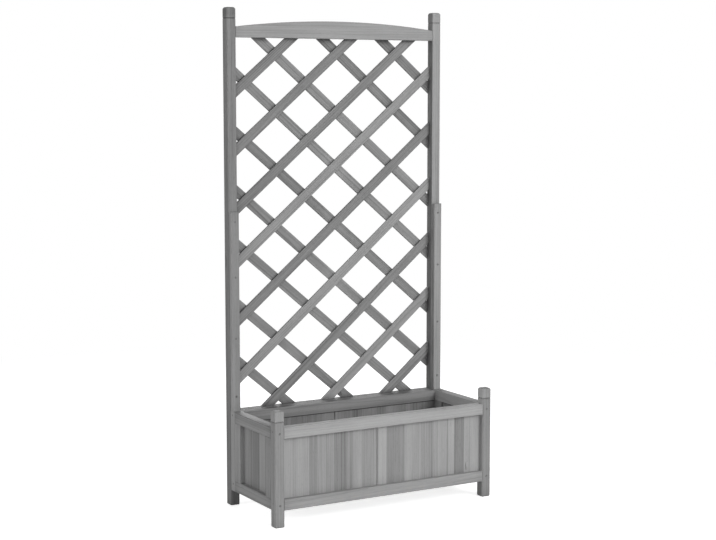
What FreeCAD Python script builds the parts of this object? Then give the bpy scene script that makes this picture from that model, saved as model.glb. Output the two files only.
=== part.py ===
import FreeCAD, Part
import math
import os

from FreeCAD import Placement, Rotation, Vector

# A planter box on four legs with a tall lattice trellis behind it, in softwood.
# Millimetres. X runs along the box, Y from the front to the trellis, Z is up.
# The origin is on the floor under the middle of the whole piece.

# ---- Driving sizes: the whole piece ----
WIDTH = 640.0
DEPTH = 280.0
HEIGHT = 1280.0

# ---- Posts ----
POST_SIZE = 26.0
POST_EDGE_RADIUS = 3.5
POST_TOP_RADIUS = 6.0
POST_FOOT_CHAMFER = 2.0
FRONT_POST_HEIGHT = 292.0
FINIAL_HEIGHT = 27.5
FINIAL_GROOVE_DEPTH = 2.0
FINIAL_GROOVE_WIDTH = 5.0

# ---- Rails ----
RIM_HEIGHT = 250.0
FLOOR_CLEARANCE = 42.0
RAIL_HEIGHT = 28.0
RAIL_THICKNESS = 24.0
RAIL_SETBACK = 1.0
RAIL_EDGE_CHAMFER = 1.0
ARCH_UNDERSIDE_DROP = 75.0
ARCH_END_HEIGHT = 27.0
ARCH_RISE = 18.0

# ---- Rear uprights: a corner post below the rim, a thinner tongue above it ----
TONGUE_THICKNESS = 11.5
TONGUE_INSET = 1.7
TONGUE_TOP = 764.0

# ---- Side stiles and boarded panels ----
STILE_WIDTH = 30.0
PANEL_THICKNESS = 8.0
PANEL_RECESS = 12.0
PANEL_GROOVE_DEPTH = 6.0
PANEL_SIDE_CLEARANCE = 0.15
PANEL_END_CLEARANCE = 0.3
BOARD_JOINT_X = -22.0
BOARD_JOINT_GAP = 1.6
BOARD_JOINT_CHAMFER = 0.8

# ---- Floor of the box ----
FLOOR_BOARD_COUNT = 5
FLOOR_BOARD_THICKNESS = 10.0
FLOOR_BOARD_GAP = 5.0
FLOOR_END_GAP = 3.0
BEARER_WIDTH = 20.0
BEARER_HEIGHT = 22.0

# ---- Lattice ----
SLAT_WIDTH = 25.0
SLAT_THICKNESS = 6.0
SLAT_EDGE_CHAMFER = 0.6
SLAT_ANGLE_DEG = 40.06
SLAT_PITCH = 149.0
SLAT_END_CLEARANCE = 0.2
LATTICE_BACK_SETBACK = 1.0
# Heights are taken on the trellis's middle line. The slats are nailed by hand, so each
# one sits a little off its even place: the lists say how far above it.
FIRST_SLAT_BELOW_RIM = 125.0
RISING_SLAT_NUDGES = (-6.0, -2.0, -1.0, 0.0, 1.5, 4.5, -6.0, -3.5, -4.0)
FALLING_SLAT_NUDGES = (8.0, 8.5, 14.5, 2.0, 2.5, 3.5, -0.5, 9.0, 9.5)

# ---- Screws ----
SCREW_SHANK_RADIUS = 2.0
SCREW_HEAD_RADIUS = 3.2
SCREW_HEAD_HEIGHT = 2.2
SCREW_HEAD_SINK = 0.3
SCREW_CLEARANCE = 0.1
SCREW_BITE = 24.0
SCREW_CROSSING_OFFSET = 2.5
SCREW_RAIL_RAISE = 2.3
SCREW_SIDES = 12
SHORT_SCREW_BITE = 16.0
TONGUE_SCREW_END_MARGIN = 25.0
TONGUE_SCREW_RIM_MARGIN = 38.0
TONGUE_SCREW_NUDGES = (0.0, 0.0, 8.0, 0.0)

# ---- Places worked out from the driving sizes ----
OUTER_X = WIDTH / 2
POST_X = OUTER_X - POST_SIZE / 2
OPENING_X = OUTER_X - POST_SIZE
FRONT_Y = -DEPTH / 2
BACK_Y = DEPTH / 2
FRONT_POST_Y = FRONT_Y + POST_SIZE / 2
TRELLIS_Y = BACK_Y - POST_SIZE / 2
TRELLIS_FRONT_Y = BACK_Y - POST_SIZE
UPRIGHT_FRONT_Y = TRELLIS_FRONT_Y - RAIL_THICKNESS
FRONT_RAIL_Y = FRONT_Y + RAIL_SETBACK
SIDE_FRONT_Y = FRONT_Y + POST_SIZE
SIDE_RAIL_X = OUTER_X - RAIL_SETBACK
TOP_RAIL_Z = RIM_HEIGHT - RAIL_HEIGHT
BOTTOM_RAIL_TOP = FLOOR_CLEARANCE + RAIL_HEIGHT
ARCH_UNDERSIDE = HEIGHT - ARCH_UNDERSIDE_DROP
LATTICE_BACK_Y = BACK_Y - LATTICE_BACK_SETBACK
PANEL_GROOVE_WIDTH = PANEL_THICKNESS + 2 * PANEL_SIDE_CLEARANCE
PANEL_BITE = PANEL_GROOVE_DEPTH - PANEL_END_CLEARANCE

AXIS_X = Vector(1, 0, 0)
AXIS_Y = Vector(0, 1, 0)
AXIS_Z = Vector(0, 0, 1)


# ---- Small shape helpers ----
def block(low, high):
    """A box between two corners."""
    size = [b - a for a, b in zip(low, high)]
    return Part.makeBox(*size, Vector(*low))


def edges_along(shape, axis):
    """The straight edges of a shape that run along an axis."""
    found = []
    for edge in shape.Edges:
        run = edge.Vertexes[-1].Point - edge.Vertexes[0].Point
        if run.Length > 0 and abs(abs(run.normalize().dot(axis)) - 1) < 1e-6:
            found.append(edge)
    return found


def edges_at_height(shape, z):
    """The edges of a shape that lie in a level plane."""
    return [e for e in shape.Edges if all(abs(v.Z - z) < 1e-6 for v in e.Vertexes)]


def eased(shape, axis, size=RAIL_EDGE_CHAMFER):
    """A shape with its long edges taken off at a small slant."""
    return shape.makeChamfer(size, edges_along(shape, axis))


def square_wire(half, z):
    """A level square about the Z axis."""
    corners = [Vector(sx * half, sy * half, z) for sx, sy in ((-1, -1), (1, -1), (1, 1), (-1, 1))]
    return Part.makePolygon(corners + corners[:1])


def mirrored(shape):
    """The same shape on the other side of the middle plane."""
    return shape.mirror(Vector(0, 0, 0), AXIS_X)


# ---- Posts with finials ----
def finial_groove(z):
    """The V-shaped ring that sets a post's head off from its shaft."""
    half = POST_SIZE / 2
    reach = FINIAL_GROOVE_WIDTH / 2
    neck = Part.makeLoft(
        [
            square_wire(half, z - reach),
            square_wire(half - FINIAL_GROOVE_DEPTH, z),
            square_wire(half, z + reach),
        ],
        True,
        True,
    )
    ring = block((-POST_SIZE, -POST_SIZE, z - reach), (POST_SIZE, POST_SIZE, z + reach))
    return ring.cut(neck)


def finial_post(x, y, height):
    """A square post that stands on the floor and ends in a rounded, grooved head."""
    half = POST_SIZE / 2
    post = block((-half, -half, 0), (half, half, height))
    post = post.makeFillet(POST_EDGE_RADIUS, edges_along(post, AXIS_Z))
    post = post.makeFillet(POST_TOP_RADIUS, edges_at_height(post, height))
    post = post.makeChamfer(POST_FOOT_CHAMFER, edges_at_height(post, 0))
    post = post.cut(finial_groove(height - FINIAL_HEIGHT))
    post.translate(Vector(x, y, 0))
    return post


# ---- Rear uprights ----
def rear_upright(side):
    """The box's rear corner post, which goes on above the rim as a tongue on the trellis post."""
    outer = side * SIDE_RAIL_X
    inner = side * OPENING_X
    low_x, high_x = sorted((outer, inner))
    corner = block((low_x, UPRIGHT_FRONT_Y, FLOOR_CLEARANCE), (high_x, TRELLIS_FRONT_Y, RIM_HEIGHT))
    corner = eased(corner, AXIS_Z)
    half = POST_SIZE / 2 - TONGUE_INSET
    middle = side * POST_X
    tongue_y = TRELLIS_FRONT_Y - TONGUE_THICKNESS
    shoulder = RIM_HEIGHT - RAIL_HEIGHT
    tongue = block((middle - half, tongue_y, shoulder), (middle + half, TRELLIS_FRONT_Y, TONGUE_TOP))
    tongue = eased(tongue, AXIS_Z)
    return corner.fuse(tongue).removeSplitter()


# ---- Rails ----
def rail_along_x(y, z):
    """A level rail between the posts, from its front lower corner line."""
    rail = block((-OPENING_X, y, z), (OPENING_X, y + RAIL_THICKNESS, z + RAIL_HEIGHT))
    return eased(rail, AXIS_X)


def side_rail(z):
    """A level rail of the left side, between the front post and the rear upright."""
    rail = block((-SIDE_RAIL_X, SIDE_FRONT_Y, z), (-OPENING_X, UPRIGHT_FRONT_Y, z + RAIL_HEIGHT))
    return eased(rail, AXIS_Y)


def side_stile(low_y):
    """An upright of the left side's frame, between its two rails."""
    low = (-SIDE_RAIL_X, low_y, BOTTOM_RAIL_TOP)
    high = (-OPENING_X, low_y + STILE_WIDTH, TOP_RAIL_Z)
    return eased(block(low, high), AXIS_Z)


def arched_rail():
    """The trellis's top rail: level underneath, and one long arc on top."""
    low_y = TRELLIS_FRONT_Y + RAIL_SETBACK
    end_z = ARCH_UNDERSIDE + ARCH_END_HEIGHT
    left_low = Vector(-OPENING_X, low_y, ARCH_UNDERSIDE)
    right_low = Vector(OPENING_X, low_y, ARCH_UNDERSIDE)
    left_top = Vector(-OPENING_X, low_y, end_z)
    right_top = Vector(OPENING_X, low_y, end_z)
    crown = Vector(0, low_y, end_z + ARCH_RISE)
    outline = Part.Wire(
        [
            Part.makeLine(left_low, right_low),
            Part.makeLine(right_low, right_top),
            Part.Arc(right_top, crown, left_top).toShape(),
            Part.makeLine(left_top, left_low),
        ]
    )
    rail = Part.Face(outline).extrude(Vector(0, RAIL_THICKNESS, 0))
    long_edges = [e for e in rail.Edges if e.Length > WIDTH / 2]
    return rail.makeChamfer(RAIL_EDGE_CHAMFER, long_edges)


# ---- Panels of edge-glued boards, held in grooves ----
def board_span(low_x, high_x, low_y, z_bite):
    """A flat board that stands in the rails' grooves by z_bite at its top and bottom."""
    return block(
        (low_x, low_y, BOTTOM_RAIL_TOP - z_bite),
        (high_x, low_y + PANEL_THICKNESS, TOP_RAIL_Z + z_bite),
    )


def long_panel(low_y):
    """The left and right boards of the front or rear panel, with a narrow open joint between them."""
    reach = OPENING_X + PANEL_BITE
    half_gap = BOARD_JOINT_GAP / 2
    left = board_span(-reach, BOARD_JOINT_X - half_gap, low_y, PANEL_BITE)
    right = board_span(BOARD_JOINT_X + half_gap, reach, low_y, PANEL_BITE)
    boards = []
    for board, joint_x in ((left, BOARD_JOINT_X - half_gap), (right, BOARD_JOINT_X + half_gap)):
        joint_edges = [
            e for e in edges_along(board, AXIS_Z) if abs(e.Vertexes[0].X - joint_x) < 1e-6
        ]
        boards.append(board.makeChamfer(BOARD_JOINT_CHAMFER, joint_edges))
    return boards


def long_panel_groove(low_y):
    """The space that the rails, posts and uprights give to a long panel."""
    reach = OPENING_X + PANEL_GROOVE_DEPTH
    return block(
        (-reach, low_y - PANEL_SIDE_CLEARANCE, BOTTOM_RAIL_TOP - PANEL_GROOVE_DEPTH),
        (reach, low_y - PANEL_SIDE_CLEARANCE + PANEL_GROOVE_WIDTH, TOP_RAIL_Z + PANEL_GROOVE_DEPTH),
    )


def side_panel_box(bite, side_room):
    """The left panel's space: its board at one bite, or the groove at the full depth."""
    low_x = -SIDE_RAIL_X + PANEL_RECESS - side_room
    low_y = SIDE_FRONT_Y + STILE_WIDTH - bite
    high_y = UPRIGHT_FRONT_Y - STILE_WIDTH + bite
    return block(
        (low_x, low_y, BOTTOM_RAIL_TOP - bite),
        (low_x + PANEL_THICKNESS + 2 * side_room, high_y, TOP_RAIL_Z + bite),
    )


# ---- Floor ----
def bearer(low_x):
    """A strip across the box that carries the floor boards."""
    low = (low_x, FRONT_RAIL_Y + RAIL_THICKNESS, FLOOR_CLEARANCE)
    high = (low_x + BEARER_WIDTH, UPRIGHT_FRONT_Y, FLOOR_CLEARANCE + BEARER_HEIGHT)
    return eased(block(low, high), AXIS_Y)


def floor_boards():
    """Boards along the box with drainage gaps, resting on the bearers."""
    front = FRONT_RAIL_Y + RAIL_THICKNESS
    pitch = (UPRIGHT_FRONT_Y - front) / FLOOR_BOARD_COUNT
    reach = OPENING_X - FLOOR_END_GAP
    low_z = FLOOR_CLEARANCE + BEARER_HEIGHT
    boards = []
    for index in range(FLOOR_BOARD_COUNT):
        low_y = front + index * pitch + FLOOR_BOARD_GAP / 2
        high_y = low_y + pitch - FLOOR_BOARD_GAP
        board = block((-reach, low_y, low_z), (reach, high_y, low_z + FLOOR_BOARD_THICKNESS))
        boards.append(eased(board, AXIS_X))
    return boards


# ---- Lattice ----
def slat_heights(nudges):
    """Where each slat of a layer crosses the middle line, for all that cross the opening."""
    climb = OPENING_X * math.tan(math.radians(SLAT_ANGLE_DEG))
    start = RIM_HEIGHT - FIRST_SLAT_BELOW_RIM
    lowest = RIM_HEIGHT - climb + SLAT_WIDTH
    highest = ARCH_UNDERSIDE + climb - SLAT_WIDTH
    first = math.ceil((lowest - start) / SLAT_PITCH)
    last = math.floor((highest - start) / SLAT_PITCH)
    count = len(nudges)
    return [start + i * SLAT_PITCH + nudges[i % count] for i in range(first, last + 1)]


def lattice_window(low_y):
    """The opening between the trellis posts and rails that the slats are cut to."""
    reach = OPENING_X - SLAT_END_CLEARANCE
    return block(
        (-reach, low_y, RIM_HEIGHT + SLAT_END_CLEARANCE),
        (reach, low_y + SLAT_THICKNESS, ARCH_UNDERSIDE - SLAT_END_CLEARANCE),
    )


def slat(height, low_y, rising):
    """One slat, cut at both ends to the frame. rising says which way it leans."""
    reach = WIDTH + HEIGHT
    strip = block((-reach, low_y, -SLAT_WIDTH / 2), (reach, low_y + SLAT_THICKNESS, SLAT_WIDTH / 2))
    strip = eased(strip, AXIS_X, SLAT_EDGE_CHAMFER)
    angle = -SLAT_ANGLE_DEG if rising else SLAT_ANGLE_DEG
    strip.Placement = Placement(Vector(0, 0, height), Rotation(AXIS_Y, angle))
    return strip.common(lattice_window(low_y)).Solids[0]


# ---- Screws ----
def ring(radius, z):
    """A level, many-sided ring about the Z axis, which stands for a small circle."""
    turn = 2 * math.pi / SCREW_SIDES
    corners = [
        Vector(radius * math.cos(i * turn), radius * math.sin(i * turn), z)
        for i in range(SCREW_SIDES)
    ]
    return Part.makePolygon(corners + corners[:1])


def stepped_rod(steps, point, direction):
    """A solid through a list of radius and height pairs, set at a point along a direction."""
    rings = [ring(radius, z) for radius, z in steps]
    rod = Part.makeLoft(rings, True, True)
    rod.Placement = Placement(point, Rotation(AXIS_Z, direction))
    return rod


def wood_screw(point, direction, length):
    """A countersunk screw whose head lies just under the surface at point."""
    head_base = SCREW_HEAD_SINK + SCREW_HEAD_HEIGHT
    steps = (
        (SCREW_HEAD_RADIUS, SCREW_HEAD_SINK),
        (SCREW_SHANK_RADIUS, head_base),
        (SCREW_SHANK_RADIUS, length),
    )
    return stepped_rod(steps, point, direction)


def screw_hole(point, direction, length):
    """The countersink and pilot hole that wood_screw drops into, with its clearance."""
    head_radius = SCREW_HEAD_RADIUS + SCREW_CLEARANCE
    shank_radius = SCREW_SHANK_RADIUS + SCREW_CLEARANCE
    steps = (
        (head_radius, 0),
        (head_radius, SCREW_HEAD_SINK),
        (shank_radius, SCREW_HEAD_SINK + SCREW_HEAD_HEIGHT),
        (shank_radius, length + SCREW_CLEARANCE),
    )
    return stepped_rod(steps, point, direction)


def frame_screw_places():
    """Where the box's posts and uprights are screwed to its rails: point, direction, length."""
    length = POST_SIZE + SCREW_BITE
    places = []
    for rail_z in (FLOOR_CLEARANCE, TOP_RAIL_Z):
        middle = rail_z + RAIL_HEIGHT / 2 + SCREW_RAIL_RAISE
        for side in (-1, 1):
            across = Vector(-side, 0, 0)
            high = middle + SCREW_CROSSING_OFFSET
            places.append((Vector(side * OUTER_X, FRONT_POST_Y, high), across, length))
            upright_y = (UPRIGHT_FRONT_Y + TRELLIS_FRONT_Y) / 2
            places.append((Vector(side * SIDE_RAIL_X, upright_y, high), across, length))
            low = middle - SCREW_CROSSING_OFFSET
            places.append((Vector(side * POST_X, FRONT_Y, low), AXIS_Y, length))
    return places


def trellis_screw_places():
    """Where the trellis posts are screwed to its two rails."""
    length = POST_SIZE + SCREW_BITE
    bottom = RIM_HEIGHT - RAIL_HEIGHT / 2
    top = ARCH_UNDERSIDE + ARCH_END_HEIGHT / 2
    places = []
    for z in (bottom, top):
        for side in (-1, 1):
            places.append((Vector(side * OUTER_X, TRELLIS_Y, z), Vector(-side, 0, 0), length))
    return places


def tongue_screw_places():
    """Where the tongues of the uprights are screwed to the trellis posts."""
    low = RIM_HEIGHT + TONGUE_SCREW_RIM_MARGIN
    high = TONGUE_TOP - TONGUE_SCREW_END_MARGIN
    step = (high - low) / (len(TONGUE_SCREW_NUDGES) - 1)
    face_y = TRELLIS_FRONT_Y - TONGUE_THICKNESS
    length = TONGUE_THICKNESS + SHORT_SCREW_BITE
    places = []
    for side in (-1, 1):
        for index, nudge in enumerate(TONGUE_SCREW_NUDGES):
            point = Vector(side * POST_X, face_y, low + index * step + nudge)
            places.append((point, AXIS_Y, length))
    return places


def screws(places):
    """One group of separate screws."""
    return Part.makeCompound([wood_screw(*place) for place in places])


def drilled(shape, places):
    """A shape with the holes of every screw that reaches it."""
    holes = [screw_hole(*place) for place in places]
    near = [hole for hole in holes if hole.BoundBox.intersect(shape.BoundBox)]
    if not near:
        return shape
    return shape.cut(near)


# ---- The whole piece ----
def planter_box():
    """The nodes of the box, with the left side also mirrored to the right."""
    front_panel_y = FRONT_RAIL_Y + PANEL_RECESS
    rear_panel_y = TRELLIS_FRONT_Y - PANEL_RECESS - PANEL_THICKNESS
    long_grooves = [long_panel_groove(front_panel_y), long_panel_groove(rear_panel_y)]
    side_groove = side_panel_box(PANEL_GROOVE_DEPTH, PANEL_SIDE_CLEARANCE)
    nodes = {}
    for name, side in (("left", -1), ("right", 1)):
        nodes["front_%s_post" % name] = finial_post(side * POST_X, FRONT_POST_Y, FRONT_POST_HEIGHT)
        nodes["rear_%s_upright" % name] = rear_upright(side)
    for level, z in (("top", TOP_RAIL_Z), ("bottom", FLOOR_CLEARANCE)):
        nodes["front_%s_rail" % level] = rail_along_x(FRONT_RAIL_Y, z)
        nodes["rear_%s_rail" % level] = rail_along_x(UPRIGHT_FRONT_Y, z)
    nodes = {name: shape.cut(long_grooves) for name, shape in nodes.items()}
    left_side = {
        "left_top_rail": side_rail(TOP_RAIL_Z).cut(side_groove),
        "left_bottom_rail": side_rail(FLOOR_CLEARANCE).cut(side_groove),
        "left_front_stile": side_stile(SIDE_FRONT_Y).cut(side_groove),
        "left_rear_stile": side_stile(UPRIGHT_FRONT_Y - STILE_WIDTH).cut(side_groove),
        "left_side_panel": side_panel_box(PANEL_BITE, 0.0),
    }
    for name, shape in left_side.items():
        nodes[name] = shape
        nodes[name.replace("left", "right", 1)] = mirrored(shape)
    for name, low_y in (("front", front_panel_y), ("rear", rear_panel_y)):
        nodes["%s_left_board" % name], nodes["%s_right_board" % name] = long_panel(low_y)
    nodes["floor_left_bearer"] = bearer(-OPENING_X)
    nodes["floor_middle_bearer"] = bearer(-BEARER_WIDTH / 2)
    nodes["floor_right_bearer"] = bearer(OPENING_X - BEARER_WIDTH)
    for index, board in enumerate(floor_boards(), 1):
        nodes["floor_board_%d" % index] = board
    return nodes


def trellis():
    """The nodes of the trellis: two tall posts, two rails and two layers of slats."""
    nodes = {
        "trellis_left_post": finial_post(-POST_X, TRELLIS_Y, HEIGHT),
        "trellis_right_post": finial_post(POST_X, TRELLIS_Y, HEIGHT),
        "trellis_bottom_rail": rail_along_x(TRELLIS_FRONT_Y + RAIL_SETBACK, TOP_RAIL_Z),
        "trellis_arched_rail": arched_rail(),
    }
    falling_y = LATTICE_BACK_Y - SLAT_THICKNESS
    rising_y = falling_y - SLAT_THICKNESS
    layers = (("rising", rising_y, RISING_SLAT_NUDGES), ("falling", falling_y, FALLING_SLAT_NUDGES))
    for name, low_y, nudges in layers:
        for index, height in enumerate(slat_heights(nudges), 1):
            nodes["%s_slat_%d" % (name, index)] = slat(height, low_y, name == "rising")
    return nodes


def build():
    """Every node of the piece, by name."""
    nodes = planter_box()
    nodes.update(trellis())
    groups = {
        "box_frame_screws": frame_screw_places(),
        "trellis_frame_screws": trellis_screw_places(),
        "upright_tongue_screws": tongue_screw_places(),
    }
    places = [place for group in groups.values() for place in group]
    nodes = {name: drilled(shape, places) for name, shape in nodes.items()}
    for name, group in groups.items():
        nodes[name] = screws(group)
    return nodes


os.makedirs("parts", exist_ok=True)
for node_name, node_shape in build().items():
    node_shape.exportStep(os.path.join("parts", node_name + ".step"))
    print("%-24s solids %2d  volume %9.0f mm3" % (node_name, len(node_shape.Solids), node_shape.Volume))
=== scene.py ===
"""A planter with trellis in grey-stained softwood: its finishes, screws, studio and camera."""

import logging
import math
import random
from dataclasses import dataclass
from enum import Enum
from typing import Any, Dict, List, Optional, Sequence, Tuple, Union

import bmesh
import bpy
from mathutils import Matrix, Vector


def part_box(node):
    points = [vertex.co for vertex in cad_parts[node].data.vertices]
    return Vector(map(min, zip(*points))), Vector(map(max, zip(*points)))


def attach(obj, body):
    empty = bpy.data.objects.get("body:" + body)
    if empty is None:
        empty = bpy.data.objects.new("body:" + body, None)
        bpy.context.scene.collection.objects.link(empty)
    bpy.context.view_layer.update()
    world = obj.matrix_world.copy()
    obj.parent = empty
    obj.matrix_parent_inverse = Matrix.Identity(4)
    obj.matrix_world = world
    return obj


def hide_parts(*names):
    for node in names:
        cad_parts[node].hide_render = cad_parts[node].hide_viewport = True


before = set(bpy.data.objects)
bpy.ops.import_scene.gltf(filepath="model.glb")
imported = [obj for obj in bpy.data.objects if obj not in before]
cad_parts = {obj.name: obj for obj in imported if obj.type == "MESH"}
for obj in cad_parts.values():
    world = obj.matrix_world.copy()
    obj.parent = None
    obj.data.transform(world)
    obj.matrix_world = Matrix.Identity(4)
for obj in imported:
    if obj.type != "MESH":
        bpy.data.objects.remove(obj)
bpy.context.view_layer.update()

LOG = logging.getLogger("planter")
MM = 0.001
SLAT_ANGLE = math.radians(40.06)
SLAT_RUN = math.cos(SLAT_ANGLE)
SLAT_RISE = math.sin(SLAT_ANGLE)
LEFT = (-1.0, 0.0, 0.0)
UP = (0.0, 0.0, 1.0)

Colour = Tuple[float, float, float]
Point = Tuple[float, float, float]
Span = Tuple[float, float]
Number = Union[float, "Signal"]


def grey(level: float) -> Colour:
    """A neutral colour."""
    return (level, level, level)


# ---- Shader maths -------------------------------------------------------------------------


class Signal:
    """A number that varies over a surface: a shader socket that Python arithmetic works on."""

    def __init__(self, graph: "Graph", socket: bpy.types.NodeSocket) -> None:
        """Keeps a socket and the graph that it belongs to."""
        self.graph = graph
        self.socket = socket

    def _math(self, operation: str, *values: Any) -> "Signal":
        """Adds one Math node.

        Args:
            operation: What the node works out.
            values: The numbers or signals that it works on.

        Returns:
            Its result.
        """
        settings = {"operation": operation}
        node = self.graph.node("ShaderNodeMath", settings, dict(enumerate(values)))
        return Signal(self.graph, node.outputs[0])

    def __add__(self, other: Number) -> "Signal":
        """Sum."""
        return self._math("ADD", self, other)

    __radd__ = __add__

    def __sub__(self, other: Number) -> "Signal":
        """Difference."""
        return self._math("SUBTRACT", self, other)

    def __rsub__(self, other: Number) -> "Signal":
        """Difference from a number."""
        return self._math("SUBTRACT", other, self)

    def __mul__(self, other: Number) -> "Signal":
        """Product."""
        return self._math("MULTIPLY", self, other)

    __rmul__ = __mul__

    def __truediv__(self, other: Number) -> "Signal":
        """Quotient."""
        return self._math("DIVIDE", self, other)

    def __rtruediv__(self, other: Number) -> "Signal":
        """Quotient of a number."""
        return self._math("DIVIDE", other, self)

    def __pow__(self, other: Number) -> "Signal":
        """Power."""
        return self._math("POWER", self, other)

    def __abs__(self) -> "Signal":
        """Size without sign."""
        return self._math("ABSOLUTE", self)

    def fraction(self) -> "Signal":
        """What is left after the whole part is taken away."""
        return self._math("FRACT", self)

    def root(self) -> "Signal":
        """Square root."""
        return self._math("SQRT", self)

    def most(self, other: Number) -> "Signal":
        """The larger of two values."""
        return self._math("MAXIMUM", self, other)

    def step(self, low: float, high: float) -> "Signal":
        """A smooth climb from 0 at low to 1 at high, or a fall when low is the larger.

        Args:
            low: Where the result is 0.
            high: Where the result is 1.

        Returns:
            The climb, held between 0 and 1.
        """
        ends = {"From Min": min(low, high), "From Max": max(low, high)}
        settings = {"interpolation_type": "SMOOTHSTEP"}
        node = self.graph.node("ShaderNodeMapRange", settings, {"Value": self, **ends})
        climb = Signal(self.graph, node.outputs["Result"])
        return climb if low < high else 1 - climb


class Graph:
    """The node tree of one material or world, with one method that makes any node."""

    def __init__(self, owner: Union[bpy.types.Material, bpy.types.World]) -> None:
        """Empties the owner's node tree.

        Args:
            owner: The material or world to fill.
        """
        owner.use_nodes = True
        self.tree = owner.node_tree
        self.tree.nodes.clear()

    def node(self, kind: str, settings: Optional[Dict[str, Any]] = None,
             inputs: Optional[Dict[Any, Any]] = None) -> bpy.types.Node:
        """Makes a node of any type.

        Args:
            kind: The node's type name.
            settings: The node's own settings; "stops" holds a ramp's positions and colours.
            inputs: Numbers, vectors, signals or sockets by input name or place.

        Returns:
            The new node.
        """
        made = self.tree.nodes.new(kind)
        for key, value in (settings or {}).items():
            if key == "stops":
                self._fill_ramp(made.color_ramp, value)
            else:
                setattr(made, key, value)
        for key, value in (inputs or {}).items():
            self.feed(made.inputs[key], value)
        return made

    @staticmethod
    def _fill_ramp(ramp: bpy.types.ColorRamp, stops: Sequence[Tuple[float, Colour]]) -> None:
        """Gives a ramp sharp-edged stops.

        Args:
            ramp: The ramp to fill.
            stops: Positions from 0 to 1, each with the colour that starts there.
        """
        ramp.interpolation = "CONSTANT"
        while len(ramp.elements) < len(stops):
            ramp.elements.new(1.0)
        for element, (place, colour) in zip(ramp.elements, stops):
            element.position = place
            element.color = (*colour, 1.0)

    def feed(self, socket: bpy.types.NodeSocket, value: Any) -> None:
        """Links a signal or socket to an input, or sets the input's own value.

        Args:
            socket: The input.
            value: A signal, an output socket, a number or a vector.
        """
        if isinstance(value, Signal):
            value = value.socket
        if isinstance(value, bpy.types.NodeSocket):
            self.tree.links.new(value, socket)
        else:
            socket.default_value = value

    def read(self, kind: str, output: str, settings: Optional[Dict[str, Any]] = None,
             inputs: Optional[Dict[Any, Any]] = None) -> Signal:
        """Makes a node and returns one of its outputs as a signal."""
        return Signal(self, self.node(kind, settings, inputs).outputs[output])

    def dot(self, vector: Signal, other: Any) -> Signal:
        """The dot product of two vectors."""
        inputs = {0: vector, 1: other}
        return self.read("ShaderNodeVectorMath", "Value", {"operation": "DOT_PRODUCT"}, inputs)

    def vector(self, x: Number, y: Number, z: Number) -> Signal:
        """Three numbers or signals as one vector."""
        return self.read("ShaderNodeCombineXYZ", "Vector", None, {"X": x, "Y": y, "Z": z})

    def noise(self, vector: Signal, waves: float, detail: float = 2.0,
              roughness: float = 0.5) -> Signal:
        """Cloudy noise about 0, from about -0.5 to 0.5.

        Args:
            vector: Where it is read.
            waves: How many waves it has in each unit of the vector.
            detail: How many finer layers it has.
            roughness: How strong the finer layers are.

        Returns:
            The noise.
        """
        inputs = {"Vector": vector, "Scale": waves, "Detail": detail, "Roughness": roughness}
        return self.read("ShaderNodeTexNoise", "Fac", None, inputs) - 0.5

    def blend(self, factor: Number, first: Any, second: Any) -> Signal:
        """A colour between two colours.

        Args:
            factor: 0 for the first colour, 1 for the second.
            first: A colour or a signal.
            second: A colour or a signal.

        Returns:
            The mixed colour.
        """
        mix = self.node("ShaderNodeMix", {"data_type": "RGBA", "clamp_factor": True})
        self.feed(mix.inputs[0], factor)
        for socket, value in ((mix.inputs[6], first), (mix.inputs[7], second)):
            self.feed(socket, value if isinstance(value, Signal) else (*value, 1.0))
        return Signal(self, mix.outputs[2])

    def finish(self, kind: str, shader: bpy.types.Node) -> None:
        """Links a shader to the output node of a material or world."""
        self.node(kind, None, {"Surface": shader.outputs[0]})


# ---- The cut of a piece -------------------------------------------------------------------


class Grain(Enum):
    """The way that a piece's grain runs: along, across and through it, as unit vectors."""

    LENGTHWISE = ((1.0, 0.0, 0.0), (0.0, 0.0, 1.0), (0.0, 1.0, 0.0))
    FRONT_TO_BACK = ((0.0, 1.0, 0.0), (0.0, 0.0, 1.0), (1.0, 0.0, 0.0))
    UPRIGHT = ((0.0, 0.0, 1.0), (1.0, 0.0, 0.0), (0.0, 1.0, 0.0))
    UPRIGHT_SIDEWAYS = ((0.0, 0.0, 1.0), (0.0, 1.0, 0.0), (1.0, 0.0, 0.0))
    RISING = ((SLAT_RUN, 0.0, SLAT_RISE), (-SLAT_RISE, 0.0, SLAT_RUN), (0.0, 1.0, 0.0))
    FALLING = ((SLAT_RUN, 0.0, -SLAT_RISE), (SLAT_RISE, 0.0, SLAT_RUN), (0.0, 1.0, 0.0))


class Figure(Enum):
    """The wood's layers of noise: waves a metre along and across, detail and roughness."""

    WARP = (2.2, 16.0, 2.0, 0.5)
    STREAK = (1.3, 52.0, 4.0, 0.6)
    FIBRE = (16.0, 640.0, 2.0, 0.6)
    BLOTCH = (5.0, 14.0, 3.0, 0.5)
    VEIN = (1.1, 150.0, 1.0, 0.5)
    PORE = (90.0, 1300.0, 0.0, 0.5)


@dataclass(frozen=True)
class Knot:
    """A knot or a splinter, by its place along and across, and its half width, in mm."""

    along: float
    across: float
    radius: float
    darkness: float = 1.0
    stretch: float = 1.9


@dataclass(frozen=True)
class DarkLine:
    """A dark line in the grain, by its place across the piece and its half width, in mm."""

    across: float
    radius: float
    darkness: float


Strips = Tuple[Tuple[float, float], ...]
Lines = Tuple[DarkLine, ...]
Knots = Tuple[Knot, ...]


@dataclass(frozen=True)
class Cut:
    """How one piece was cut from its plank, and the light and shade painted on its left and upper
    faces and its head.

    A shade collar is a painted shade line round the piece, at its place along in mm. Strips start
    at a place across in mm, each with its own tone, and the last one only ends the board.
    """

    grain: Grain
    tone: float = 0.0
    shade_collar: float = 0.0
    # Painted light and shade: on left faces, on upper faces, and on the head above the shade
    # collar.
    painted_left_light: float = 0.0
    painted_top_shade: float = 0.0
    painted_head_light: float = 0.0
    strips: Strips = ()
    lines: Lines = ()
    knots: Knots = ()


# ---- Finishes -----------------------------------------------------------------------------


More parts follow.
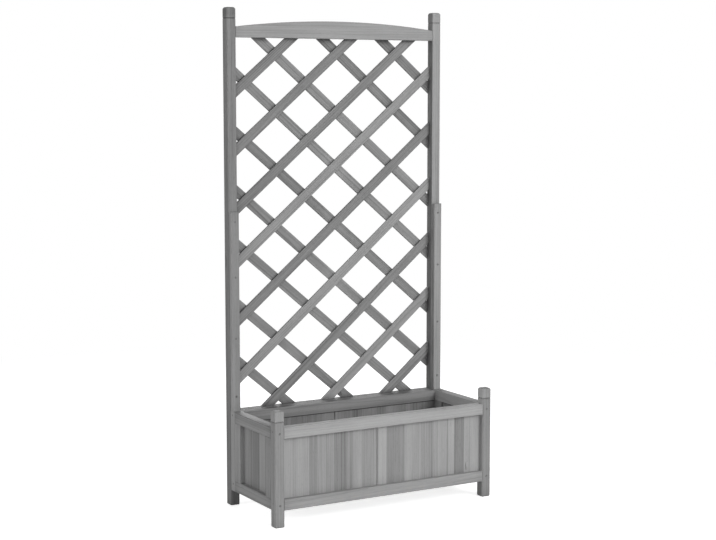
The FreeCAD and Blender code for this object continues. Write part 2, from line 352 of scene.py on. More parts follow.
@dataclass(frozen=True)
class Mark:
    """What one feature of the wood adds to its shade, its roughness and its height."""

    shade: float = 0.0
    rough: float = 0.0
    height: float = 0.0


@dataclass(frozen=True)
class StainedWood:
    """Planed softwood under a thin grey stain that lets the grain show."""

    dark: Colour = grey(0.085)
    light: Colour = grey(0.47)
    middle: float = 0.56
    roughness: float = 0.70
    specular: float = 0.22
    relief: float = 0.35
    relief_height: float = 0.5 * MM

    late: Mark = Mark(-0.12, 0.08, -0.35)
    streak: Mark = Mark(0.46, 0.0, 0.40)
    fibre: Mark = Mark(0.20, 0.25, 0.50)
    blotch: Mark = Mark(0.20)
    vein: Mark = Mark(-0.07)
    pore: Mark = Mark(-0.10, 0.0, -0.50)
    # line darkens the grain's own lines and also carries the painted shade collar.
    line: Mark = Mark(-1.0, 0.0, -1.0)
    end: Mark = Mark(-0.12)
    edge: Mark = Mark(0.07, -0.06)
    soak: Mark = Mark(-0.07)
    # Painted shade in the inner corners, with some dirt.
    corner_shade_and_dirt: Mark = Mark(-0.14, 0.10)
    knot: Mark = Mark(-0.45, 0.0, -0.40)

    plank_reach: Span = (3.0, 9.0)
    pith_aside: Span = (10.0 * MM, 60.0 * MM)
    pith_behind: Span = (25.0 * MM, 70.0 * MM)
    ring_gap: float = 4.2 * MM
    ring_lean: float = 0.012
    ring_wave: float = 9.0 * MM
    ring_sharpness: float = 3.0
    fade_waves: Span = (0.37, 0.7)
    fade_swing: float = 2.2
    fade_middle: float = 0.9
    fade_least: float = 0.15
    vein_range: Span = (0.08, 0.24)
    pore_range: Span = (0.14, 0.28)

    strip_step: float = 0.37
    strip_shift: float = 0.9
    strip_turn: float = 0.7
    strip_sideways: float = 0.05
    line_wave: float = 3.0 * MM
    line_waves: float = 9.0
    line_swing: float = 0.9
    line_middle: float = 0.85
    line_rim: Span = (1.0, 0.25)
    # The painted shade collar: its darkness, its half width in mm and its rim.
    shade_collar_depth: float = 0.22
    shade_collar_radius: float = 1.8
    shade_collar_rim: Span = (1.0, 0.3)
    head_range: Span = (-1.0, 1.0)
    knot_rim: Span = (1.25, 0.55)
    knot_reach: float = 5.0
    knot_push: float = 5.0 * MM

    face_range: Span = (0.6, 0.9)
    end_range: Span = (0.55, 0.85)
    edge_radius: float = 1.6 * MM
    edge_range: Span = (0.01, 0.22)
    edge_samples: int = 4
    soak_reach: float = 30.0 * MM
    corner_reach: float = 7.0 * MM
    corner_range: Span = (0.62, 0.10)
    corner_samples: int = 6

    def dress(self, name: str, cut: Cut, seed: int) -> bpy.types.Material:
        """Makes the material of one piece.

        Args:
            name: The piece's name, which the material gets too.
            cut: How the piece was cut from its plank.
            seed: What sets its grain apart from that of the other pieces.

        Returns:
            The material.
        """
        material = bpy.data.materials.new(name)
        graph = Graph(material)
        timber = Timber(graph, self, name, cut, seed)
        knots, push = timber.knots()
        blotch = timber.figure(Figure.BLOTCH)
        features = (
            (self.late, timber.late_wood(push)),
            (self.streak, timber.figure(Figure.STREAK)),
            (self.fibre, timber.figure(Figure.FIBRE)),
            (self.blotch, blotch),
            (self.vein, timber.figure(Figure.VEIN).step(*self.vein_range)),
            (self.pore, timber.figure(Figure.PORE).step(*self.pore_range)),
            # lines() holds the grain lines and the painted shade collar.
            (self.line, timber.lines()),
            (self.end, timber.end_face()),
            (self.edge, timber.edge()),
            (self.soak, timber.soak(blotch)),
            (self.corner_shade_and_dirt, timber.corner_shade_and_dirt()),
            (self.knot, knots),
        )
        # stain() also adds the painted light and shade of the left and upper faces and the head.
        shade = timber.stain() + self.middle
        rough: Number = self.roughness
        height: Number = 0.0
        for mark, feature in features:
            shade = feature * mark.shade + shade
            if mark.rough:
                rough = feature * mark.rough + rough
            if mark.height:
                height = feature * mark.height + height
        bump = graph.node("ShaderNodeBump", None, {
            "Strength": self.relief,
            "Distance": self.relief_height,
            "Height": height,
        })
        shader = graph.node("ShaderNodeBsdfPrincipled", None, {
            "Base Color": graph.blend(shade, self.dark, self.light),
            "Roughness": rough,
            "Specular IOR Level": self.specular,
            "Normal": bump.outputs["Normal"],
        })
        graph.finish("ShaderNodeOutputMaterial", shader)
        return material


class Timber:
    """One piece while it is dressed: where a point lies in it, and what the wood shows there."""

    def __init__(self, graph: Graph, wood: StainedWood, name: str, cut: Cut, seed: int) -> None:
        """Finds the point's place in the piece and in the plank that it came from.

        Args:
            graph: The material's graph.
            wood: The wood's own values.
            name: The piece's name.
            cut: How the piece was cut from its plank.
            seed: What sets its grain apart from that of the other pieces.
        """
        self.graph = graph
        self.wood = wood
        self.cut = cut
        self.draw = random.Random(seed)
        self.corners = [Vector(corner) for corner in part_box(name)]
        self.facing = graph.read("ShaderNodeTexCoord", "Normal")
        point = graph.read("ShaderNodeTexCoord", "Object")
        self.along, self.across, self.through = (graph.dot(point, axis) for axis in cut.grain.value)
        self.tone, self.shift = self._strips()
        start = Vector([self.draw.uniform(*wood.plank_reach) for _ in range(3)])
        self.plank = (
            self.along + start.x,
            self.across + self.shift + start.y,
            self.through + self.shift * wood.strip_turn + start.z,
        )
        self.warp = self.figure(Figure.WARP)

    def _strips(self) -> Tuple[Number, Number]:
        """The tone and the grain's sideways shift, which a glued-up board has by its strips.

        Returns:
            The tone, and the shift in metres.
        """
        strips = self.cut.strips
        if not strips:
            return self.cut.tone, 0.0
        low = strips[0][0]
        span = strips[-1][0] - low
        # A ramp holds nothing below 0, so the tones are raised by a half in it.
        half = 0.5
        stops = [
            ((start - low) / span, (half + tone, (self.wood.strip_step * index) % 1.0, 0.0))
            for index, (start, tone) in enumerate(strips[:-1])
        ]
        share = (self.across / MM - low) / span
        ramp = self.graph.node("ShaderNodeValToRGB", {"stops": stops}, {"Fac": share})
        parts = self.graph.node("ShaderNodeSeparateColor", None, {"Color": ramp.outputs["Color"]})
        tone, shift = (Signal(self.graph, part) for part in parts.outputs[:2])
        return tone - half + self.cut.tone, shift * self.wood.strip_shift

    def _above_shade_collar(self) -> Signal:
        """How far the point lies above the painted shade collar, in mm."""
        return self.along / MM - self.cut.shade_collar

    def figure(self, figure: Figure) -> Signal:
        """One layer of noise, drawn out along the grain of the plank.

        Args:
            figure: Which layer.

        Returns:
            The noise, from about -0.5 to 0.5.
        """
        along_waves, across_waves, detail, roughness = figure.value
        along, across, through = self.plank
        stretched = self.graph.vector(along * along_waves, across * across_waves,
                                      through * across_waves)
        return self.graph.noise(stretched, 1.0, detail, roughness)

    def stain(self) -> Number:
        """The piece's tone, with the light and shade painted on its left and upper faces and its
        head.

        Returns:
            What is added to the shade.
        """
        tone = self.tone
        # Painted light and shade on the left and upper faces.
        for way, extra in ((LEFT, self.cut.painted_left_light), (UP, self.cut.painted_top_shade)):
            if extra:
                turned = self.graph.dot(self.facing, way).step(*self.wood.face_range)
                tone = turned * extra + tone
        # Painted light on the head above the shade collar.
        if self.cut.painted_head_light:
            head = self._above_shade_collar().step(*self.wood.head_range)
            tone = head * self.cut.painted_head_light + tone
        return tone

    def knots(self) -> Tuple[Number, Number]:
        """How dark the knots are, and how far they push the rings aside.

        Returns:
            The darkness from 0 to 1, and the push in metres.
        """
        dark: Number = 0.0
        push: Number = 0.0
        for knot in self.cut.knots:
            size = knot.radius * MM
            ahead = (self.along - knot.along * MM) / (size * knot.stretch)
            aside = (self.across - knot.across * MM) / size
            reach = (ahead ** 2 + aside ** 2).root()
            dark = reach.step(*self.wood.knot_rim) * knot.darkness + dark
            push = reach.step(self.wood.knot_reach, 0.0) * self.wood.knot_push + push
        return dark, push

    def late_wood(self, push: Number) -> Signal:
        """How dark the late wood of the growth rings is, with some rings fainter than others.

        Args:
            push: How far the knots push the rings aside, in metres.

        Returns:
            The darkness, from 0 to about 1.
        """
        wood = self.wood
        aside = self.draw.choice((-1, 1)) * self.draw.uniform(*wood.pith_aside)
        behind = self.draw.choice((-1, 1)) * self.draw.uniform(*wood.pith_behind)
        lean = self.draw.uniform(-wood.ring_lean, wood.ring_lean)
        middle = sum(self.corners, Vector()) / 2
        _, across_axis, through_axis = (Vector(axis) for axis in self.cut.grain.value)
        sideways = self.shift * wood.strip_sideways
        across = self.across - middle.dot(across_axis) - aside + sideways
        through = self.through - middle.dot(through_axis) - behind
        radius = (across ** 2 + through ** 2).root()
        bent = radius + self.along * lean + self.warp * wood.ring_wave + push
        rings = bent / wood.ring_gap
        ring_waves, along_waves = wood.fade_waves
        place = self.graph.vector(rings * ring_waves, self.plank[0] * along_waves, self.shift)
        fade = self.graph.noise(place, 1.0, 1.0) * wood.fade_swing + wood.fade_middle
        return rings.fraction() ** wood.ring_sharpness * fade.most(wood.fade_least)

    def lines(self) -> Number:
        """How dark the piece's own grain lines are, which come and go, and its painted shade
        collar.

        Returns:
            The darkness, from 0 to about 1.
        """
        wood = self.wood
        dark: Number = 0.0
        across = self.across + self.warp * wood.line_wave
        for line in self.cut.lines:
            aside = abs(across - line.across * MM) / (line.radius * MM)
            place = self.graph.vector(self.plank[0] * wood.line_waves, line.across, 0.0)
            fade = self.graph.noise(place, 1.0) * wood.line_swing + wood.line_middle
            dark = aside.step(*wood.line_rim) * fade * line.darkness + dark
        # Painted shade collar: the shade in a head groove and the rails' shadow under the rim.
        if self.cut.shade_collar:
            aside = abs(self._above_shade_collar()) / wood.shade_collar_radius
            dark = aside.step(*wood.shade_collar_rim) * wood.shade_collar_depth + dark
        return dark

    def end_face(self) -> Signal:
        """1 on the faces that cut across the grain, else 0."""
        return abs(self.graph.dot(self.facing, self.cut.grain.value[0])).step(*self.wood.end_range)

    def edge(self) -> Signal:
        """Where the surface turns over an edge.

        Returns:
            0 on the flat, up to 1 on the arris.
        """
        samples = {"samples": self.wood.edge_samples}
        rounded = self.graph.read("ShaderNodeBevel", "Normal", samples,
                                  {"Radius": self.wood.edge_radius})
        flat = self.graph.read("ShaderNodeNewGeometry", "True Normal")
        return (1 - self.graph.dot(rounded, flat)).step(*self.wood.edge_range)

    def soak(self, blotch: Signal) -> Signal:
        """How far the stain has soaked in from the piece's two ends, from 0 to 1.

        Args:
            blotch: The noise that makes its limit uneven.

        Returns:
            The share.
        """
        axis = Vector(self.cut.grain.value[0])
        low, high = sorted(corner.dot(axis) for corner in self.corners)
        half = (high - low) / 2
        reach = abs(self.along - (low + high) / 2) + blotch * self.wood.soak_reach
        return reach.step(half - self.wood.soak_reach, half)

    def corner_shade_and_dirt(self) -> Signal:
        """How much painted shade the inner corners get, with some stain and dust held there.

        Returns:
            0 in the open, up to 1 in a corner.
        """
        # Ambient occlusion darkens the corners as painted shade.
        samples = {"samples": self.wood.corner_samples}
        shelter = self.graph.read("ShaderNodeAmbientOcclusion", "AO", samples,
                                  {"Distance": self.wood.corner_reach})
        return shelter.step(*self.wood.corner_range)


@dataclass(frozen=True)
class ScrewSteel:
    """Dull, dark zinc plating with a fine grain and worn clouds."""

    base: Colour = grey(0.10)
    worn: Colour = grey(0.24)
    roughness: float = 0.42
    metallic: float = 0.85
    grain_waves: float = 2400.0
    cloud_waves: float = 420.0
    wear_middle: float = 0.45
    wear_cloud: float = 1.6
    wear_grain: float = 0.5
    rough_cloud: float = 0.3
    relief: float = 0.2
    relief_height: float = 0.05 * MM

    def dress(self, name: str) -> bpy.types.Material:
        """Makes the screws' material.

        Args:
            name: The material's name.

        Returns:
            The material.
        """
        material = bpy.data.materials.new(name)
        graph = Graph(material)
        place = graph.read("ShaderNodeTexCoord", "Object")
        grain = graph.noise(place, self.grain_waves, 3.0)
        cloud = graph.noise(place, self.cloud_waves)
        wear = cloud * self.wear_cloud + self.wear_middle + grain * self.wear_grain
        bump = graph.node("ShaderNodeBump", None, {
            "Strength": self.relief,
            "Distance": self.relief_height,
            "Height": grain,
        })
        shader = graph.node("ShaderNodeBsdfPrincipled", None, {
            "Base Color": graph.blend(wear, self.base, self.worn),
            "Metallic": self.metallic,
            "Roughness": self.roughness + cloud * self.rough_cloud,
            "Normal": bump.outputs["Normal"],
        })
        graph.finish("ShaderNodeOutputMaterial", shader)
        return material


# ---- Sub-assemblies -----------------------------------------------------------------------


def clothe(node: str, finish: StainedWood, cut: Cut, seed: int) -> None:
    """Gives a CAD node its own wood.

    Args:
        node: The node's name.
        finish: The wood.
        cut: How the piece was cut.
        seed: The piece's own number.
    """
    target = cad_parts[node]
    material = finish.dress(node, cut, seed)
    target.data.materials.clear()
    target.data.materials.append(material)
    LOG.info("%s: %s grain, seed %d", node, cut.grain.name.lower(), seed)


@dataclass
class PlanterBox:
    """The box: posts, uprights, rails, stiles, boarded panels and floor.

    Places are in mm. Painted shade lines run round the post heads in their groove, and along the
    panels under the rim as the rails' shadow.
    """

    frame_wood: StainedWood
    board_wood: StainedWood
    head_groove: float = 264.5
    under_rim: float = 220.5
    # Painted light on the front posts' heads above the groove.
    painted_head_light: float = 0.14
    front_stile_tone: float = -0.12
    rear_stile_tone: float = 0.0
    corner_seed: int = 11
    rail_seed: int = 21
    board_seed: int = 31
    floor_seed: int = 41
    bearer_seed: int = 46

    # Each corner: its post's tone and the painted light on its left face, then the same for its
    # upright.
    corners: Tuple[Tuple[str, Span, Span], ...] = (
        ("left", (-0.07, -0.03), (-0.15, 0.10)),
        ("right", (-0.16, 0.32), (-0.04, 0.0)),
    )
    # Each rail's tone, and painted shade on its top face where one is given.
    rails: Tuple[Tuple[str, Cut], ...] = (
        ("front_top_rail", Cut(Grain.LENGTHWISE, 0.13)),
        ("front_bottom_rail", Cut(Grain.LENGTHWISE, 0.0)),
        ("rear_top_rail", Cut(Grain.LENGTHWISE, -0.17, painted_top_shade=-0.26)),
        ("rear_bottom_rail", Cut(Grain.LENGTHWISE, -0.02)),
        ("left_top_rail", Cut(Grain.FRONT_TO_BACK, -0.12, painted_top_shade=-0.12)),
        ("left_bottom_rail", Cut(Grain.FRONT_TO_BACK, -0.12)),
        ("right_top_rail", Cut(Grain.FRONT_TO_BACK, 0.24, painted_top_shade=-0.34)),
        ("right_bottom_rail", Cut(Grain.FRONT_TO_BACK, -0.03)),
    )
    front_left_strips: Strips = (
        (-300, 0.08), (-219, -0.06), (-197, 0.0), (-148, -0.09), (-93, 0.05), (-66, 0.0),
        (-22, 0.0),
    )
    front_left_lines: Lines = (
        DarkLine(-211, 4, 0.08), DarkLine(-186, 2, 0.05), DarkLine(-143, 2.5, 0.07),
        DarkLine(-100, 4, 0.07), DarkLine(-60, 3, 0.08), DarkLine(-41, 2, 0.10),
        DarkLine(-32, 2, 0.10),
    )
    front_right_strips: Strips = (
        (-22, 0.15), (5, -0.12), (59, 0.10), (109, 0.0), (148, 0.06), (213, -0.16),
        (243, 0.14), (263, 0.07), (300, 0.0),
    )
    front_right_lines: Lines = (
        DarkLine(33, 3, 0.05), DarkLine(56, 2.5, 0.09), DarkLine(121, 2, 0.08),
        DarkLine(137, 3, 0.08), DarkLine(160, 2.5, 0.14), DarkLine(192, 2.5, 0.20),
        DarkLine(216, 2.5, 0.10), DarkLine(290, 3, 0.05),
    )
    front_right_knots: Knots = (Knot(86, 249, 1.3, 0.9, 9.0), Knot(80, 253.5, 0.9, 0.7, 7.0))
    rear_strips: Strips = (
        (-300, 0.0), (-170, -0.03), (-110, -0.06), (-66, 0.03), (-22, 0.07), (10, -0.02),
        (62, 0.04), (105, -0.04), (138, 0.07), (160, 0.0), (212, -0.03), (260, -0.07),
        (300, 0.0),
    )
    rear_lines: Lines = (
        DarkLine(-96, 2.5, 0.07), DarkLine(8, 2, 0.08), DarkLine(24, 2, 0.06),
        DarkLine(129, 2, 0.10), DarkLine(185, 2, 0.12), DarkLine(236, 2, 0.06),
    )
    side_strips: Strips = ((-90, -0.08), (-59, 0.14), (-28, -0.05), (24, 0.04), (70, 0.0))
    side_lines: Lines = (
        DarkLine(-66, 3, 0.08), DarkLine(-42, 1.6, 0.05), DarkLine(-22, 2.5, 0.06),
        DarkLine(16, 2.5, 0.08), DarkLine(36, 1.8, 0.05),
    )

    def build(self) -> None:
        """Dresses every piece of the box."""
        self._frame()
        self._panels()
        self._floor()

    def _frame(self) -> None:
        """Dresses the posts, uprights, stiles and rails."""
        for seed, (side, post_tone_and_light, upright_tone_and_light) in enumerate(self.corners, self.corner_seed):
            tone, painted_left_light = post_tone_and_light
            post = Cut(Grain.UPRIGHT, tone, self.head_groove, painted_left_light, painted_head_light=self.painted_head_light)
            tone, painted_left_light = upright_tone_and_light
            pieces = (
                (f"front_{side}_post", post),
                (f"rear_{side}_upright", Cut(Grain.UPRIGHT, tone, painted_left_light=painted_left_light)),
                (f"{side}_front_stile", Cut(Grain.UPRIGHT, self.front_stile_tone)),
                (f"{side}_rear_stile", Cut(Grain.UPRIGHT, self.rear_stile_tone)),
            )
            for step, (piece, cut) in enumerate(pieces):
                clothe(piece, self.frame_wood, cut, seed + step * len(self.corners))
        for seed, (rail, cut) in enumerate(self.rails, self.rail_seed):
            clothe(rail, self.frame_wood, cut, seed)

    def _panels(self) -> None:
        """Dresses the boards of the four panels."""
        rear = Cut(Grain.UPRIGHT, -0.12, self.under_rim, strips=self.rear_strips,
                   lines=self.rear_lines)
        side = Cut(Grain.UPRIGHT_SIDEWAYS, -0.15, self.under_rim, strips=self.side_strips,
                   lines=self.side_lines)
        boards = {
            "front_left_board": Cut(Grain.UPRIGHT, -0.02, strips=self.front_left_strips,
                                    lines=self.front_left_lines),
            "front_right_board": Cut(Grain.UPRIGHT, -0.01, strips=self.front_right_strips,
                                     lines=self.front_right_lines,
                                     knots=self.front_right_knots),
            "rear_left_board": rear,
            "rear_right_board": rear,
            "left_side_panel": side,
            "right_side_panel": side,
        }
        for seed, (board, cut) in enumerate(boards.items(), self.board_seed):
            clothe(board, self.board_wood, cut, seed)

    def _floor(self) -> None:
        """Dresses the floor boards and their bearers."""
        boards = sorted(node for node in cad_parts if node.startswith("floor_board_"))
        for seed, board in enumerate(boards, self.floor_seed):
            clothe(board, self.board_wood, Cut(Grain.LENGTHWISE), seed)
        for seed, place in enumerate(("left", "middle", "right"), self.bearer_seed):
            clothe(f"floor_{place}_bearer", self.board_wood, Cut(Grain.FRONT_TO_BACK), seed)


@dataclass
class Trellis:
    """The trellis: tall posts, rails and two layers of slats. Places are in mm."""

    frame_wood: StainedWood
    slat_wood: StainedWood
    head_groove: float = 1252.5
    frame_seed: int = 51
    slat_seed: int = 7
    last_slat_seed: int = 1000
    left_knots: Knots = (Knot(637, 130, 2.2, 0.8, 7.0), Knot(1264, 126, 13, 0.3, 0.9))
    rising_tones: Tuple[float, ...] = (
        -0.05, 0.10, -0.08, 0.06, -0.15, 0.0, -0.18, -0.17, -0.11,
    )
    falling_tones: Tuple[float, ...] = (
        -0.05, 0.0, -0.01, -0.06, -0.04, 0.01, 0.0, -0.13, -0.07,
    )

    def build(self) -> None:
        """Dresses every piece of the trellis."""
        # The posts get a painted shade line at the head groove and painted shade on the left face;
        # the bottom rail gets painted shade on its top.
        pieces = {
            "trellis_left_post": Cut(Grain.UPRIGHT_SIDEWAYS, -0.28, self.head_groove, -0.03,
                                     knots=self.left_knots),
            "trellis_right_post": Cut(Grain.UPRIGHT, 0.02, self.head_groove, -0.30),
            "trellis_arched_rail": Cut(Grain.LENGTHWISE, -0.02),
            "trellis_bottom_rail": Cut(Grain.LENGTHWISE, -0.17, painted_top_shade=-0.26),
        }
        for seed, (piece, cut) in enumerate(pieces.items(), self.frame_seed):
            clothe(piece, self.frame_wood, cut, seed)
        draw = random.Random(self.slat_seed)
        layers = (("rising", Grain.RISING, self.rising_tones),
                  ("falling", Grain.FALLING, self.falling_tones))
        for layer, grain, tones in layers:
            for index, tone in enumerate(tones, 1):
                seed = draw.randrange(self.last_slat_seed)
                clothe(f"{layer}_slat_{index}", self.slat_wood, Cut(grain, tone), seed)


@dataclass
class Screws:
    """Countersunk screws with a cross-shaped drive and a thread, in the plain CAD ones' places."""

    steel: ScrewSteel
    groups: Tuple[str, ...] = ("box_frame_screws", "trellis_frame_screws", "upright_tongue_screws")
    rim: float = 0.25 * MM
    head_height: float = 2.2 * MM
    drive_reach: float = 2.0 * MM
    drive_width: float = 0.5 * MM
    drive_depth: float = 1.2 * MM
    drive_taper: float = 0.6
    thread_pitch: float = 2.4 * MM
    thread_depth: float = 0.55 * MM
    tip: float = 4.0 * MM
    sides: int = 20
    weld: float = 0.001 * MM
    turn_seed: int = 3

    def build(self) -> None:
        """Models and dresses the three groups of screws."""
        material = self.steel.dress("screw_steel")
        draw = random.Random(self.turn_seed)
        for group in self.groups:
            work = bmesh.new()
            places = self._places(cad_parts[group].data)
            for corners in places:
                self._screw(work, corners, draw.uniform(0, math.pi))
            bmesh.ops.recalc_face_normals(work, faces=work.faces)
            mesh = bpy.data.meshes.new(f"{group}_threaded")
            work.to_mesh(mesh)
            work.free()
            mesh.materials.append(material)
            piece = bpy.data.objects.new(f"{group}_threaded", mesh)
            bpy.context.scene.collection.objects.link(piece)
            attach(piece, "root")
            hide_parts(group)
            LOG.info("%s: %d screws", group, len(places))

    def _places(self, mesh: bpy.types.Mesh) -> List[List[Vector]]:
        """The corner points of each separate screw of a CAD group.

        Args:
            mesh: The group's mesh, which stays as it is.

        Returns:
            One list of points for each screw.
        """
        work = bmesh.new()
        work.from_mesh(mesh)
        bmesh.ops.remove_doubles(work, verts=work.verts, dist=self.weld)
        seen = set()
        places = []
        for first in work.verts:
            if first in seen:
                continue
            seen.add(first)
            island = [first]
            for vert in island:
                near = [edge.other_vert(vert) for edge in vert.link_edges]
                island += [other for other in near if other not in seen]
                seen.update(near)
            places.append([vert.co.copy() for vert in island])
        work.free()
        return places

    def _lie(self, corners: List[Vector]) -> Tuple[float, float, Vector, Vector]:
        """How a CAD screw lies.

        Args:
            corners: The CAD screw's corner points.

        Returns:
            The radii of its head and shank, and the middles of the head's face and of the tip.
        """
        spans = [sorted(corner[axis] for corner in corners) for axis in range(3)]
        sizes = [span[-1] - span[0] for span in spans]
        axis = sizes.index(max(sizes))
        middle = Vector([(span[0] + span[-1]) / 2 for span in spans])
        ends = []
        for end in (spans[axis][0], spans[axis][-1]):
            centre = middle.copy()
            centre[axis] = end
            reach = max((corner - centre).length for corner in corners
                        if abs(corner[axis] - end) < self.rim)
            ends.append((reach, centre))
        (shank, tip), (head, face) = sorted(ends, key=lambda item: item[0])
        return head, shank, face, tip

    def _screw(self, work: bmesh.types.BMesh, corners: List[Vector], turn: float) -> None:
        """Adds one screw, in the space of a CAD screw.

        Args:
            work: The mesh that it is added to.
            corners: The CAD screw's corner points.
            turn: How far the drive is turned, in radians.
        """
        head, shank, face, tip = self._lie(corners)
        inward = tip - face
        spin = inward.to_track_quat("Z", "Y").to_matrix().to_4x4()
        place = Matrix.Translation(face) @ spin @ Matrix.Rotation(turn, 4, "Z")

        rings = [(head - self.rim, 0.0), (head, self.rim), (shank, self.head_height)]
        height = self.head_height + self.thread_pitch
        while height < inward.length - self.tip:
            rings.append((shank - self.thread_depth, height))
            rings.append((shank, height + self.thread_pitch / 2))
            height += self.thread_pitch
        rings.append((shank - self.thread_depth, height))
        rings.append((self.rim, inward.length))
        loops = [self._ring(work, place, radius, z) for radius, z in rings]
        for low, high in zip(loops, loops[1:]):
            self._wall(work, low, high)
        work.faces.new(loops[-1])

        mouth = self._cross(work, place, 1.0, 0.0)
        floor = self._cross(work, place, self.drive_taper, self.drive_depth)
        self._wall(work, mouth, floor)
        work.faces.new(floor)
        rims = self._round(work, loops[0]) + self._round(work, mouth)
        bmesh.ops.triangle_fill(work, use_beauty=True, edges=rims)

    def _ring(self, work: bmesh.types.BMesh, place: Matrix, radius: float,
              height: float) -> List[bmesh.types.BMVert]:
        """Adds one round of points about the screw's axis.

        Args:
            work: The mesh that they are added to.
            place: Where the screw stands.
            radius: The round's radius, in metres.
            height: How far the round lies below the head's face, in metres.

        Returns:
            The points in order.
        """
        turn = 2 * math.pi / self.sides
        return [
            work.verts.new(place @ Vector((radius * math.cos(i * turn),
                                           radius * math.sin(i * turn), height)))
            for i in range(self.sides)
        ]

    def _cross(self, work: bmesh.types.BMesh, place: Matrix, scale: float,
               height: float) -> List[bmesh.types.BMVert]:
        """Adds the twelve corners of the cross-shaped drive at one depth.

        Args:
            work: The mesh that they are added to.
            place: Where the screw stands.
            scale: The cross's size, as a share of its size at the head's face.
            height: How far the corners lie below the head's face, in metres.

        Returns:
            The corners in order.
        """
        reach, half = self.drive_reach * scale, self.drive_width * scale
        arm = [(reach, -half), (reach, half), (half, half)]
        corners = []
        for quarter in range(4):
            spin = Matrix.Rotation(quarter * math.pi / 2, 4, "Z")
            corners += [spin @ Vector((x, y, height)) for x, y in arm]
        return [work.verts.new(place @ corner) for corner in corners]

    @staticmethod
    def _round(work: bmesh.types.BMesh,
               loop: List[bmesh.types.BMVert]) -> List[bmesh.types.BMEdge]:
        """The edges of a closed round of points."""
        return [work.edges.get(pair) for pair in zip(loop, loop[1:] + loop[:1])]

    @staticmethod
    def _wall(work: bmesh.types.BMesh, low: List[bmesh.types.BMVert],
              high: List[bmesh.types.BMVert]) -> None:
        """Joins two rounds of points with a band of faces.

        Args:
            work: The mesh that the faces are added to.
            low: One round.
            high: The other, with as many points.
        """
        count = len(low)
        for i in range(count):
            j = (i + 1) % count
            work.faces.new((low[i], low[j], high[j], high[i]))


# ---- Studio -------------------------------------------------------------------------------


@dataclass(frozen=True)
class Lamp:
    """A square soft lamp: its place and the side of its face in metres, its power in watts."""

    name: str
    place: Point
    size: float
    power: float

    def hang(self, aim: Point) -> None:
        """Hangs the lamp.

        Args:
            aim: The point that it shines on.
        """
        data = bpy.data.lights.new(self.name, "AREA")
        data.size = self.size
        data.energy = self.power
        lamp = bpy.data.objects.new(self.name, data)
        lamp.location = self.place
        way = Vector(aim) - Vector(self.place)
        lamp.rotation_euler = way.to_track_quat("-Z", "Y").to_euler()
        bpy.context.scene.collection.objects.link(lamp)


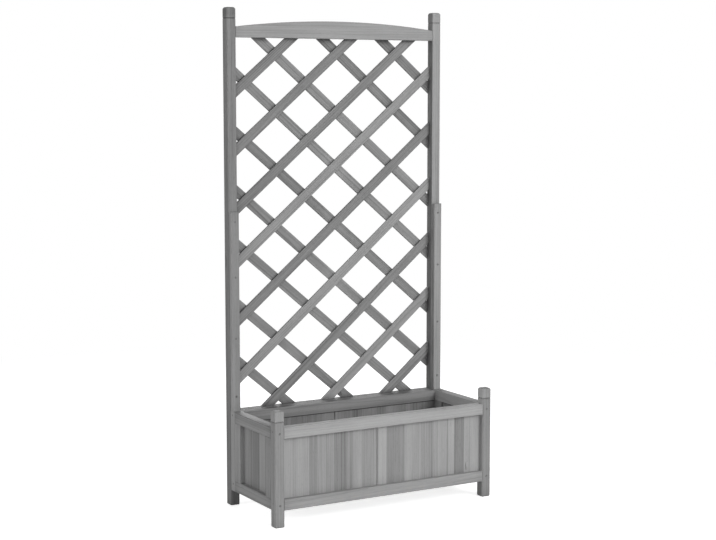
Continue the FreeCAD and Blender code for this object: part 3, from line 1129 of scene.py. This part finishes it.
@dataclass
class Studio:
    """A pale floor that turns white far off, a white surround, soft lamps and the camera.

    Places are in metres and angles in degrees.
    """

    floor_size: float = 60.0
    floor_fade: Span = (1.3, 2.6)
    floor_lift: float = 0.72
    floor_bounce: Colour = grey(0.60)
    floor_shown: Colour = grey(0.8)
    surround: Colour = grey(0.18)
    white: Colour = grey(1.0)
    black: Colour = grey(0.0)
    aim: Point = (0.0, 0.0, 0.6)
    lamps: Tuple[Lamp, ...] = (
        Lamp("key", (2.3, -5.8, 3.4), 3.4, 306.0),
        Lamp("front", (-1.2, -6.5, 0.7), 2.6, 145.0),
        Lamp("overhead", (0.3, -1.0, 7.5), 4.5, 20.0),
        Lamp("fill", (-6.2, 0.5, 2.9), 2.6, 168.0),
        Lamp("back", (2.4, 6.8, 1.7), 3.2, 330.0),
    )
    camera_place: Point = (-2.04226, -3.52196, 1.07183)
    camera_turn: float = 30.047
    camera_pitch: float = 6.486
    focal_pixels: float = 1580.6
    image_width: float = 716.0
    sensor_width: float = 36.0

    def build(self) -> None:
        """Makes the surround, floor, lamps and camera."""
        self._surround()
        self._floor()
        for lamp in self.lamps:
            lamp.hang(self.aim)
        self._camera()
        bpy.context.scene.view_settings.view_transform = "Standard"
        LOG.info("studio: %d lamps", len(self.lamps))

    @staticmethod
    def _seen(graph: Graph) -> Signal:
        """Tells what is seen from what only sheds light.

        Args:
            graph: The graph of the material or world that asks.

        Returns:
            1 for the camera's own rays and for those in gloss and glass, else 0.
        """
        rays = graph.node("ShaderNodeLightPath")
        kinds = ("Is Camera Ray", "Is Glossy Ray", "Is Transmission Ray")
        camera, gloss, glass = (Signal(graph, rays.outputs[kind]) for kind in kinds)
        return camera.most(gloss).most(glass)

    def _surround(self) -> None:
        """White to the camera and in gloss, and a plain even light for the rest."""
        world = bpy.data.worlds.new("surround")
        bpy.context.scene.world = world
        graph = Graph(world)
        colour = graph.blend(self._seen(graph), self.surround, self.white)
        light = graph.node("ShaderNodeBackground", None, {"Color": colour, "Strength": 1.0})
        graph.finish("ShaderNodeOutputWorld", light)

    def _floor(self) -> None:
        """A wide, matt, nearly white floor that keeps the piece's shadow."""
        mesh = bpy.data.meshes.new("studio_floor")
        half = self.floor_size / 2
        corners = [(-half, -half, 0), (half, -half, 0), (half, half, 0), (-half, half, 0)]
        mesh.from_pydata(corners, [], [(0, 1, 2, 3)])
        floor = bpy.data.objects.new("studio_floor", mesh)
        bpy.context.scene.collection.objects.link(floor)
        mesh.materials.append(self._floor_paint())

    def _floor_paint(self) -> bpy.types.Material:
        """Makes the floor's material.

        Returns:
            The material: lit and shaded near the piece, and plain white far off.
        """
        material = bpy.data.materials.new("studio_floor")
        graph = Graph(material)
        seen = self._seen(graph)
        near = graph.node("ShaderNodeBsdfPrincipled", None, {
            "Base Color": graph.blend(seen, self.floor_bounce, self.floor_shown),
            "Roughness": 1.0,
            "Specular IOR Level": 0.0,
            "Emission Color": graph.blend(seen, self.black, self.white),
            "Emission Strength": self.floor_lift,
        })
        white = graph.node("ShaderNodeEmission", None, {"Strength": 1.0})
        place = graph.read("ShaderNodeTexCoord", "Object")
        far = graph.read("ShaderNodeVectorMath", "Value", {"operation": "LENGTH"}, {0: place})
        shader = graph.node("ShaderNodeMixShader", None, {
            0: far.step(*self.floor_fade) * seen,
            1: near.outputs[0],
            2: white.outputs[0],
        })
        graph.finish("ShaderNodeOutputMaterial", shader)
        return material

    def _camera(self) -> None:
        """The camera at the photograph's viewing angle."""
        data = bpy.data.cameras.new("camera")
        data.sensor_width = self.sensor_width
        data.lens = self.focal_pixels / self.image_width * self.sensor_width
        camera = bpy.data.objects.new("camera", data)
        camera.location = self.camera_place
        turn = (math.radians(90 - self.camera_pitch), 0.0, -math.radians(self.camera_turn))
        camera.rotation_euler = turn
        bpy.context.scene.collection.objects.link(camera)
        bpy.context.scene.camera = camera


def main() -> None:
    logging.basicConfig(level=logging.INFO)
    wood = StainedWood()
    # The boards get darker painted shade in their corners and a darker painted shade collar under
    # the rim.
    board_wood = StainedWood(vein=Mark(-0.15), corner_shade_and_dirt=Mark(-0.22, 0.10), shade_collar_depth=0.40)
    # The slats get stronger painted shade, reaching further, in their corners and under the arched
    # rail.
    slat_wood = StainedWood(
        middle=0.47,
        late=Mark(-0.20, 0.08, -0.35),
        fibre=Mark(0.28, 0.25, 0.50),
        corner_shade_and_dirt=Mark(-0.42, 0.10),
        corner_reach=22.0 * MM,
        corner_range=(0.92, 0.35),
    )
    PlanterBox(wood, board_wood).build()
    Trellis(wood, slat_wood).build()
    Screws(ScrewSteel()).build()
    Studio().build()


if __name__ == "__main__":
    main()
